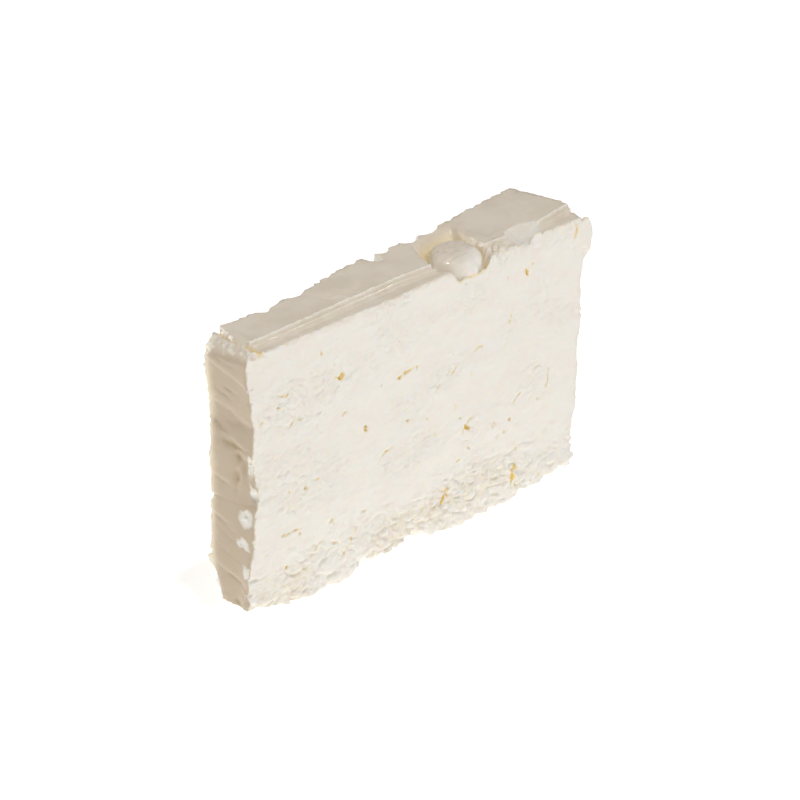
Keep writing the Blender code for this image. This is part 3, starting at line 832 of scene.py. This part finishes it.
def split_cracks(points, warm):
    """Opens the cracks of the front face, and the lines of the left end and the top."""
    draw = np.random.default_rng(17)
    lines = drawn_lines(CRACKS, CRACK_BITE)
    for _ in range(STRAY_CRACKS):
        start = np.array((draw.uniform(*STRAY_X), STRAY_FROM + STRAY_RISE * draw.uniform(0, 1) ** 1.3))
        turn = draw.uniform(-0.5, 1.3)
        reach = draw.uniform(0.8, 3.2) * np.array((np.cos(turn), np.sin(turn)))
        lines.append((crack_line(start, start + reach, draw.uniform(-0.5, 0.5)), draw.uniform(0.15, 0.4)))
    split(points, warm, points[:, 1] < FRONT_DEPTH, FRONT_SIDE, lines, CRACK_HALF, 60)
    cold = np.zeros(len(points))
    lines = drawn_lines(END_LINES, LINE_BITE)
    split(points, cold, points[:, 0] < LEFT_DEPTH, LEFT_SIDE, lines, LINE_HALF, 160)
    lines = drawn_lines(TOP_LINES, TOP_LINE_BITE)
    split(points, cold, points[:, 2] > TOP_FROM, TOP_SIDE, lines, LINE_HALF, 190)


def carve(points, warm):
    """Takes out every chip along the edges, and gives back where the skin went with it."""
    before = points.copy()
    for number, (centre, half) in enumerate(TOP_CHIPS + BACK_CHIPS + END_CHIPS):
        # Each chip gets a little painted glow by how deep it bites.
        scoop(points, warm, np.array(centre), np.array(half), 30 + number, CHIP_GLOW)
    draw = np.random.default_rng(12)
    for number in range(NICK_COUNT):
        height = NICK_FROM + NICK_SPREAD * (number + draw.uniform(0, 1)) / NICK_COUNT
        centre = np.array((NICK_OFFSET, NICK_OFFSET, height))
        scoop(points, warm, centre, draw.uniform(*NICK_SIZES), 200 + number, 0.0, NICK_ROUGHNESS)
    draw = np.random.default_rng(8)
    for number in range(FOOT_CHIP_COUNT):
        step = number + draw.uniform(-0.3, 0.3)
        x = FOOT_CHIP_FROM + FOOT_CHIP_SPREAD * step / (FOOT_CHIP_COUNT - 1)
        centre = np.array((x, station(BACK_OUTLINE, x) + FOOT_CHIP_OUT, draw.uniform(*FOOT_CHIP_HEIGHT)))
        scoop(points, warm, centre, draw.uniform(*FOOT_CHIP_SIZES), 80 + number, CHIP_GLOW)
    return smooth_step(np.linalg.norm(points - before, axis=1) / BARE_DEPTH)


def fine_spots():
    """The middle and half length of every pit and crack of the front that has a place of its own."""
    spots = [(x, z, long) for x, z, long, *_ in PITS]
    for x0, z0, x1, z1, _ in CRACKS:
        spots.append(((x0 + x1) / 2, (z0 + z1) / 2, np.hypot(x1 - x0, z1 - z0) / 2))
    return spots


def wants_detail(place, spots):
    """Whether a point of the unit cube lies by a pit or crack of the front, the lip or the torn end."""
    x, z = place.x * END_OUTLINE[-1][1], place.z * FRONT_HEIGHT
    if place.y < 1e-6:
        return any(abs(x - px) + abs(z - pz) < 1.4 * long + FINE_REACH for px, pz, long in spots)
    return place.z > 1 - 1e-6 and (x < FINE_TEAR or place.y < FINE_LIP)


def unit_block():
    """A cube from 0 to 1 whose edges are divided so that the slab's points are evenly spaced."""
    bm = bmesh.new()
    bmesh.ops.create_cube(bm, size=1, matrix=Matrix.Translation((0.5, 0.5, 0.5)))
    lengths = (END_OUTLINE[-1][1], BACK_OUTLINE[-1][1], FRONT_HEIGHT)
    for axis, length in enumerate(lengths):
        along = [e for e in bm.edges if abs(e.verts[0].co[axis] - e.verts[1].co[axis]) > 0.5]
        bmesh.ops.subdivide_edges(bm, edges=along, cuts=round(length / SPACING[axis]))
    spots = fine_spots()
    fine = [e for e in bm.edges if all(wants_detail(v.co, spots) for v in e.verts)]
    bmesh.ops.subdivide_edges(bm, edges=fine, cuts=1, use_grid_fill=True)
    return bm


def sculpt_slab():
    """The slab as one mesh in millimetres, its points, how much painted glow and shade each one takes, and
    how bare each one is.
    """
    bm = unit_block()
    unit = np.array([v.co for v in bm.verts])
    points = slab(unit)
    warm = np.zeros(len(points))
    shape_faces(unit, points, warm)
    pierce(points, warm)
    split_cracks(points, warm)
    bare = carve(points, warm)
    for vertex, point in zip(bm.verts, points):
        vertex.co = point
    return bm, points, warm, bare


def lump(centre, half, turn, tilt, rough, seed):
    """One rough curd as an icosphere, crumbled all over."""
    bm = bmesh.new()
    bmesh.ops.create_icosphere(bm, subdivisions=5, radius=1)
    spin = Matrix.Rotation(np.radians(turn), 4, "Z") @ Matrix.Rotation(np.radians(tilt), 4, "Y")
    size = min(half)
    for vertex in bm.verts:
        place = vertex.co * size + Vector((seed * 9.1, seed * 4.3, 0))
        swell = 1 + 0.1 * noise.noise(place * 0.6)
        grain = noise.noise(place * 0.9) + 0.5 * noise.noise(place * 2.1) + 0.25 * noise.noise(place * 4.5)
        vertex.co *= swell + rough * grain / size
    bm.transform(Matrix.Translation(centre) @ spin @ Matrix.Diagonal((*half, 1)))
    return bm


def crumb(centre, size, draw):
    """One small bit of curd with flat broken sides."""
    bm = bmesh.new()
    for _ in range(CRUMB_CORNERS):
        heading = Vector(draw.normal(size=3)).normalized()
        bm.verts.new(Vector(centre) + heading * size * draw.uniform(0.7, 1.2))
    hull = bmesh.ops.convex_hull(bm, input=bm.verts)
    bmesh.ops.delete(bm, geom=[v for v in hull["geom_interior"] if isinstance(v, bmesh.types.BMVert)])
    bmesh.ops.recalc_face_normals(bm, faces=bm.faces)
    return bm


def nugget():
    """The lump that lies loose in the hollow: sliced flat on top and rounded below."""
    bm = bmesh.new()
    bmesh.ops.create_icosphere(bm, subdivisions=6, radius=1)
    angles, radii = zip(*NUGGET_PLAN)
    for vertex in bm.verts:
        heading = np.degrees(np.arctan2(vertex.co.y, vertex.co.x))
        reach = np.interp(heading, angles, radii, period=360)
        rise = vertex.co.z
        out = reach * (1 - min(abs(rise), 1) ** NUGGET_BOXY) ** (1 / NUGGET_BOXY)
        flat = Vector((vertex.co.x, vertex.co.y, 0)).normalized() * out
        vertex.co = Vector(NUGGET_CENTRE) + flat + Vector((0, 0, rise * NUGGET_HALF_HEIGHT))
        rough = sum(height * noise.noise(vertex.co / size) for size, height in NUGGET_ROUGH)
        vertex.co += (vertex.co - Vector(NUGGET_CENTRE)).normalized() * rough
        top = NUGGET_TOP - NUGGET_FALL * max(NUGGET_SHOULDER - vertex.co.y, 0) ** 2
        over = np.logaddexp(0, (vertex.co.z - top + 0.3) / NUGGET_SOFTNESS) * NUGGET_SOFTNESS
        vertex.co.z -= 0.93 * over
    bmesh.ops.smooth_vert(bm, verts=bm.verts, factor=0.5, use_axis_x=True, use_axis_y=True, use_axis_z=True)
    return bm


def mesh_object(name, bm, collection):
    """An object made from bm, which is freed."""
    mesh = bpy.data.meshes.new(name)
    bm.to_mesh(mesh)
    bm.free()
    made = bpy.data.objects.new(name, mesh)
    collection.objects.link(made)
    return made


def apply_modifiers(piece):
    """Replaces the piece's mesh with what its modifiers make of it."""
    graph = bpy.context.evaluated_depsgraph_get()
    made = bpy.data.meshes.new_from_object(piece.evaluated_get(graph))
    piece.modifiers.clear()
    piece.data = made


def thin_out(piece):
    """Keeps triangles where the surface turns, and few where it is plain."""
    thinner = piece.modifiers.new("fewer_triangles", "DECIMATE")
    thinner.ratio = TRIANGLES / (2 * len(piece.data.polygons))
    thinner.use_collapse_triangulate = True
    apply_modifiers(piece)


def fuse(piece, collection):
    """Joins the piece with the collection's lumps, which are then removed."""
    union = piece.modifiers.new("fused_lumps", "BOOLEAN")
    union.operation = "UNION"
    union.solver = "MANIFOLD"
    union.operand_type = "COLLECTION"
    union.collection = collection
    apply_modifiers(piece)
    for part in list(collection.objects):
        bpy.data.objects.remove(part)
    bpy.data.collections.remove(collection)


def mesh_points(mesh):
    """The mesh's vertices as rows."""
    flat = np.empty(3 * len(mesh.vertices))
    mesh.vertices.foreach_get("co", flat)
    return flat.reshape(-1, 3)


def add_attribute(mesh, name, values):
    """Keeps one number for each vertex, which a material reads by name."""
    made = mesh.attributes.new(name, "FLOAT", "POINT")
    made.data.foreach_set("value", np.asarray(values, dtype=np.float32))


def carried_over(points, values, value_points):
    """The values of the sculpted points at the finished mesh's points, and 0 away from them."""
    tree = kdtree.KDTree(len(value_points))
    for row in np.flatnonzero(values > 0.02):
        tree.insert(value_points[row], row)
    tree.balance()
    found = [tree.find(point) for point in points]
    rows = np.array([row for _, row, _ in found])
    gaps = np.array([gap for _, _, gap in found])
    return values[rows] * np.maximum(1 - gaps / 0.35, 0)


def painted_glow_share(points, depth):
    """The painted glow of each point, by how far into a hollow, groove or pit it lies, from 0 to 1."""
    x, y, z = points.T
    surface = smooth_step(1.6 - np.abs(z - top_height(x, y)) / 0.5)
    inside = smooth_step(hollow_depth(x, y) / HOLLOW_WARM_DEPTH) * surface
    torn = groove_share(x, y)[0] * below(z, *GROOVE_WARM_UNDER) * surface * above(x, *GROOVE_WARM_FROM)
    return np.maximum(smooth_step(depth / PIT_WARM_DEPTH), HOLLOW_GLOW * inside + GROOVE_GLOW * torn)


def on_crumbs(points):
    """0 on the crumbs of the left end and the smears round them, 1 elsewhere."""
    share = np.ones(len(points))
    jagged = layered(points, CRUMB_SMEAR)
    for centre, half, _, size in CRUMBS:
        away = np.linalg.norm((points - centre) / (np.array(half) + (1.2, size, size)), axis=1)
        share *= above(away + jagged, 0.95, 0.15)
    return share


def skin_share(points, normals, bare):
    """How much of the smooth skin each point keeps: the top, the left end and the lump's top."""
    x, y, z = points.T
    sunken = hollow_depth(x, y)
    ragged = layered(points, SKIN_RAGGED)
    on_top = above(z, *SKIN_TOP) * above(normals[:, 2] + ragged, *SKIN_FACING)
    on_lip = above(z, *SKIN_LIP) * (y > SKIN_LIP_BEHIND) * (x < SKIN_LIP_UNTIL)
    on_end = below(x, *SKIN_END) * above(ragged - normals[:, 0], *SKIN_FACING)
    sunk = above(sunken, 0.6, 1.4) * below(z, NUGGET_TOP - 0.9, 0.8)
    share = np.maximum(np.maximum(on_top, on_lip) * (1 - sunk), on_end) * (1 - bare)
    share = share * on_crumbs(points)
    off_x, off_y = x - NUGGET_CENTRE[0], y - NUGGET_CENTRE[1]
    away = np.hypot(off_x / NUGGET_REACH[0], off_y / NUGGET_REACH[1])
    on_nugget = smooth_step(2 - away) * above(z, *NUGGET_SKIN_FROM)
    faded = above(y - NUGGET_SKIN_SLANT * off_x, *NUGGET_SKIN_BACK) * above(z, *NUGGET_SKIN_UP)
    return share + (faded - share) * on_nugget * (sunken > 1.5)


def painted_highlight_share(points):
    """Where the lip and the end's rim get painted highlights, in beads along them."""
    x, y, z = points.T
    flat = flat_points(x, y)
    past = y - lip_place(x)
    upper = ridge(past, *CREST_UPPER) * np.clip(0.75 + layered(flat, CREST_UPPER_BEADS), 0, 1)
    lower = 0.7 * ridge(past, *CREST_LOWER) * np.clip(0.6 + layered(flat, CREST_LOWER_BEADS), 0, 1)
    lip_highlight = (upper + lower) * above(z, *CREST_UP) * above(x, *CREST_FROM)
    specks = above(bumps(points, RIM_SPECK_SIZE, 52), *RIM_SPECKS)
    rim_highlight = above(z, *RIM_HIGHLIGHT_UP) * below(x, *RIM_HIGHLIGHT_END) * (0.4 + 0.6 * specks)
    return np.maximum(lip_highlight, rim_highlight)


def wet_share(points):
    """Where whey still stands: along the lip, on the torn end, and in and by the hollow."""
    x, y, z = points.T
    torn = below(x, *WET_END)
    lip = smooth_step(1.5 - np.abs(y - station(LIP_LINE, x)) / 0.8)
    patchy = 0.15 + 0.85 * above(bumps(points, WET_PATCH_SIZE, 53), *WET_PATCHES)
    middle_x, middle_y, long, wide = WET_HOLLOW
    hollow = smooth_step(2.0 - np.hypot((x - middle_x) / long, (y - middle_y) / wide)) * patchy
    return np.maximum(np.maximum(torn, lip), hollow) * above(z, *WET_UP)


def centre_on_base(piece):
    """Puts the middle of the base at the origin and scales to metres; gives back the middle."""
    points = mesh_points(piece.data)
    low, high = points.min(axis=0), points.max(axis=0)
    middle = Vector((*((low + high) / 2)[:2], low[2]))
    piece.data.transform(Matrix.Scale(MM, 4) @ Matrix.Translation(-middle))
    return middle


def linear(code):
    """An sRGB hex value as linear RGBA."""
    parts = [int(code[i:i + 2], 16) / 255 for i in (1, 3, 5)]
    return (*[c / 12.92 if c <= 0.04045 else ((c + 0.055) / 1.055) ** 2.4 for c in parts], 1)


def add_node(tree, kind, settings=None, links=None):
    """Adds a node, sets its properties and sockets by name, and links its inputs."""
    node = tree.nodes.new(kind)
    for name, value in (settings or {}).items():
        if name in node.inputs:
            node.inputs[name].default_value = value
        else:
            setattr(node, name, value)
    for name, source in (links or {}).items():
        tree.links.new(source, node.inputs[name])
    return node


def new_material(name):
    """A material with its tree, its Principled shader and its object coordinates."""
    material = bpy.data.materials.new(name)
    material.use_nodes = True
    tree = material.node_tree
    place = add_node(tree, "ShaderNodeTexCoord").outputs["Object"]
    return material, tree, tree.nodes["Principled BSDF"], place


def speckle(tree, place, size_mm, detail=2.0, rough=0.5):
    """Noise whose bumps are about size_mm across."""
    settings = {"Scale": 1 / (size_mm * MM), "Detail": detail, "Roughness": rough}
    return add_node(tree, "ShaderNodeTexNoise", settings, {"Vector": place}).outputs["Fac"]


def span(tree, value, low, high, to_low=0.0, to_high=1.0):
    """The value's range from low to high, spread from to_low to to_high."""
    settings = {"From Min": low, "From Max": high, "To Min": to_low, "To Max": to_high}
    return add_node(tree, "ShaderNodeMapRange", settings, {"Value": value}).outputs["Result"]


def blend(tree, share, first, second):
    """Two colours mixed by share; each is a hex value or another node's output."""
    node = add_node(tree, "ShaderNodeMix", {"data_type": "RGBA"})
    for socket, colour in ((node.inputs[6], first), (node.inputs[7], second)):
        if isinstance(colour, str):
            socket.default_value = linear(colour)
        else:
            tree.links.new(colour, socket)
    tree.links.new(share, node.inputs["Factor"])
    return node.outputs[2]


def read_share(tree, name):
    """One of the piece's own attributes."""
    return add_node(tree, "ShaderNodeAttribute", {"attribute_name": name}).outputs["Fac"]


def feta_finish(name, gloss):
    """Feta: milky, so that light sinks in; chalky where it broke, creamy and moist where skinned."""
    material, tree, shader, place = new_material(name)
    drawn = add_node(tree, "ShaderNodeMapping", {"Scale": (GRAIN_STRETCH, 1, 1)}, {"Vector": place})
    drawn = drawn.outputs["Vector"]
    pink = span(tree, speckle(tree, drawn, PINK_MM, 4.0), 0.44, 0.6)
    green = span(tree, speckle(tree, drawn, GREEN_MM, 4.0), 0.5, 0.64)
    curd = blend(tree, pink, CURD_PALE, CURD_PINK)
    curd = blend(tree, green, curd, CURD_GREEN)
    cloud = span(tree, speckle(tree, place, CLOUD_MM, 3.0), 0.4, 0.64)
    skin = blend(tree, cloud, SKIN_CREAM, SKIN_SHADE)
    rim = read_share(tree, "rim")
    # Painted shade: the skin of the left end is painted darker and warmer.
    skin = blend(tree, read_share(tree, "end"), skin, END_PAINTED_SHADE)
    # Painted glow along the left end's back rim, as if lit through from behind.
    skin = blend(tree, rim, skin, RIM_PAINTED_GLOW)
    # Painted highlights on the lip's edges and in specks on the end's rim.
    skin = blend(tree, read_share(tree, "crest"), skin, PAINTED_HIGHLIGHT_WHITE)
    colour = blend(tree, read_share(tree, "skin"), curd, skin)
    # Painted light: the crumbs on the left end are painted brighter than the shade they lie in.
    colour = blend(tree, read_share(tree, "crumb"), colour, PAINTED_HIGHLIGHT_WHITE)
    # Painted glow in pits, cracks, chips, the hollow and the groove, and painted shade in seams and dents.
    colour = blend(tree, read_share(tree, "warm"), colour, PAINTED_GLOW_YELLOW)
    tree.links.new(colour, shader.inputs["Base Color"])
    grain = speckle(tree, place, gloss["grain_mm"], 4.0, 0.6)
    low, high = gloss["roughness"]
    tree.links.new(span(tree, grain, 0.3, 0.7, low, high), shader.inputs["Roughness"])
    settings = {"Strength": gloss["bump"], "Distance": gloss["bump_mm"] * MM}
    bump = add_node(tree, "ShaderNodeBump", settings, {"Height": grain})
    tree.links.new(bump.outputs["Normal"], shader.inputs["Normal"])
    shader.inputs["IOR"].default_value = MILK_IOR
    shader.inputs["Subsurface Weight"].default_value = gloss["milky"]
    shader.inputs["Subsurface Radius"].default_value = MILK_RADIUS
    sunk = span(tree, rim, 0.0, 1.0, gloss["milky_mm"] * MM, gloss["rim_mm"] * MM)
    tree.links.new(sunk, shader.inputs["Subsurface Scale"])
    wet = span(tree, read_share(tree, "wet"), 0.0, 1.0, *gloss["coat"])
    tree.links.new(wet, shader.inputs["Coat Weight"])
    shader.inputs["Coat Roughness"].default_value = WHEY_ROUGHNESS
    shader.inputs["Coat IOR"].default_value = WHEY_IOR
    return material


def assign_finishes(piece, skin):
    """Gives the faces that kept their skin the moist finish, and the rest the cut one."""
    mesh = piece.data
    mesh.materials.clear()
    mesh.materials.append(feta_finish("feta_cut_curd", CUT_GLOSS))
    mesh.materials.append(feta_finish("feta_moist_skin", MOIST_GLOSS))
    share = np.array([skin[list(face.vertices)].mean() for face in mesh.polygons])
    mesh.polygons.foreach_set("material_index", (share > 0.5).astype(np.int32))


def hang_crumbs(lumps):
    """The crumbs that stick to the left end, each in its heap."""
    draw = np.random.default_rng(5)
    for centre, half, count, size in CRUMBS:
        for _ in range(count):
            place = np.array(centre) + draw.uniform(-1, 1, 3) * half
            mesh_object("crumb", crumb(place, size * draw.uniform(0.6, 1.1), draw), lumps)


def mark_surface(mesh, points, skin, warm):
    """Keeps what the finishes read: each point's painted glow and shade, how skinned and wet it is, its
    painted highlights, and where it lies.
    """
    x, y, z = points.T
    from_back = back_depth(x, z / SKIN_HEIGHT) - y
    shares = {
        "warm": warm,
        # Painted glow and shade of the openings.
        "skin": skin,
        "wet": wet_share(points),
        # Painted highlights along the lip's edges and in specks on the end's rim.
        "crest": painted_highlight_share(points),
        # Painted light on the crumbs of the left end.
        "crumb": (1 - on_crumbs(points)) * below(x, *CRUMB_LIGHT_REACH),
        # Painted shade over the left end.
        "end": below(x, *END_SHADE_REACH),
        # Painted glow along the back rim, which also sets how deep light sinks in there.
        "rim": near(from_back, RIM_GLOW) * below(x, *END_RIM),
    }
    for name, values in shares.items():
        add_attribute(mesh, name, values)


def make_cheese():
    """The whole slice as one piece, and the middle of its base in the measured frame."""
    noise.seed_set(WARP_SEED)
    collection = bpy.context.scene.collection
    lumps = bpy.data.collections.new("feta_lumps")
    collection.children.link(lumps)
    bm, carved_points, carved, bare = sculpt_slab()
    piece = mesh_object(PIECE, bm, collection)
    thin_out(piece)
    mesh_object("nugget", nugget(), lumps)
    for number, measures in enumerate(LUMPS):
        mesh_object(f"lump_{number}", lump(*measures, seed=number + 1), lumps)
    hang_crumbs(lumps)
    fuse(piece, lumps)
    points = mesh_points(piece.data)
    flaked = np.zeros(len(points))
    lines = drawn_lines(FLAKE_CRACKS, CRACK_BITE)
    split(points, flaked, points[:, 1] < FRONT_DEPTH, FRONT_SIDE, lines, CRACK_HALF, 90)
    piece.data.vertices.foreach_set("co", points.ravel())
    piece.data.update()
    normals = np.array([corner.vector for corner in piece.data.vertex_normals])
    warm = painted_glow_share(points, np.maximum(carried_over(points, carved, carved_points), flaked))
    skin = skin_share(points, normals, carried_over(points, bare, carved_points))
    mark_surface(piece.data, points, skin, warm)
    middle = centre_on_base(piece)
    assign_finishes(piece, skin)
    piece.data.shade_smooth()
    return piece, middle


def make_floor():
    """A plain pale paper floor that the light washes out to white."""
    bm = bmesh.new()
    bmesh.ops.create_grid(bm, x_segments=1, y_segments=1, size=FLOOR_HALF)
    floor = mesh_object("paper_floor", bm, bpy.context.scene.collection)
    material, tree, shader, place = new_material("pale_paper")
    fibre = span(tree, speckle(tree, place, FLOOR_FIBRE_MM), 0.3, 0.7)
    colour = blend(tree, fibre, FLOOR_PAPER, FLOOR_FIBRE)
    tree.links.new(colour, shader.inputs["Base Color"])
    shader.inputs["Roughness"].default_value = 0.9
    shader.inputs["Emission Color"].default_value = (1, 1, 1, 1)
    shader.inputs["Emission Strength"].default_value = FLOOR_EMISSION
    floor.data.materials.append(material)
    return floor


def view_axes(azimuth, elevation):
    """The camera's right, up and back directions for angles in degrees."""
    turn, lift = np.radians(azimuth), np.radians(elevation)
    back = Vector((np.sin(turn) * np.cos(lift), -np.cos(turn) * np.cos(lift), np.sin(lift)))
    right = Vector((np.cos(turn), np.sin(turn), 0))
    return right, back.cross(right), back


def facing(axes, place):
    """The matrix of a camera or lamp at place, whose axes are right, up and back."""
    turned = Matrix(axes).transposed().to_4x4()
    turned.translation = place
    return turned


def make_camera(middle):
    """The camera at the photograph's angle and distance."""
    data = bpy.data.cameras.new("camera")
    data.lens = LENS
    data.sensor_width = SENSOR
    data.clip_end = 20
    camera = bpy.data.objects.new("camera", data)
    bpy.context.scene.collection.objects.link(camera)
    axes = view_axes(VIEW_AZIMUTH, VIEW_ELEVATION)
    place = (Vector(VIEW_AIM) - middle + axes[2] * VIEW_DISTANCE) * MM
    camera.matrix_world = facing(axes, place)
    bpy.context.scene.camera = camera


def area_light(name, azimuth, elevation, distance, size, power, colour):
    """A square soft box that faces the slice from the given angles."""
    data = bpy.data.lights.new(name, "AREA")
    data.size = size
    data.energy = power
    data.color = colour
    lamp = bpy.data.objects.new(name, data)
    bpy.context.scene.collection.objects.link(lamp)
    axes = view_axes(azimuth, elevation)
    lamp.matrix_world = facing(axes, axes[2] * distance + LIGHT_AIM)


def make_light():
    """A soft key from the right of the camera, and a pale warm room all round."""
    world = bpy.data.worlds.new("pale_room")
    world.use_nodes = True
    bpy.context.scene.world = world
    background = world.node_tree.nodes["Background"]
    background.inputs["Color"].default_value = ROOM_TINT
    background.inputs["Strength"].default_value = ROOM_STRENGTH
    for name, settings in LIGHTS.items():
        area_light(name, *settings)
    bpy.context.scene.view_settings.view_transform = "Standard"


cheese, base_middle = make_cheese()
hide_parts("feta_block")
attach(cheese, "root")
make_floor()
make_camera(base_middle)
make_light()
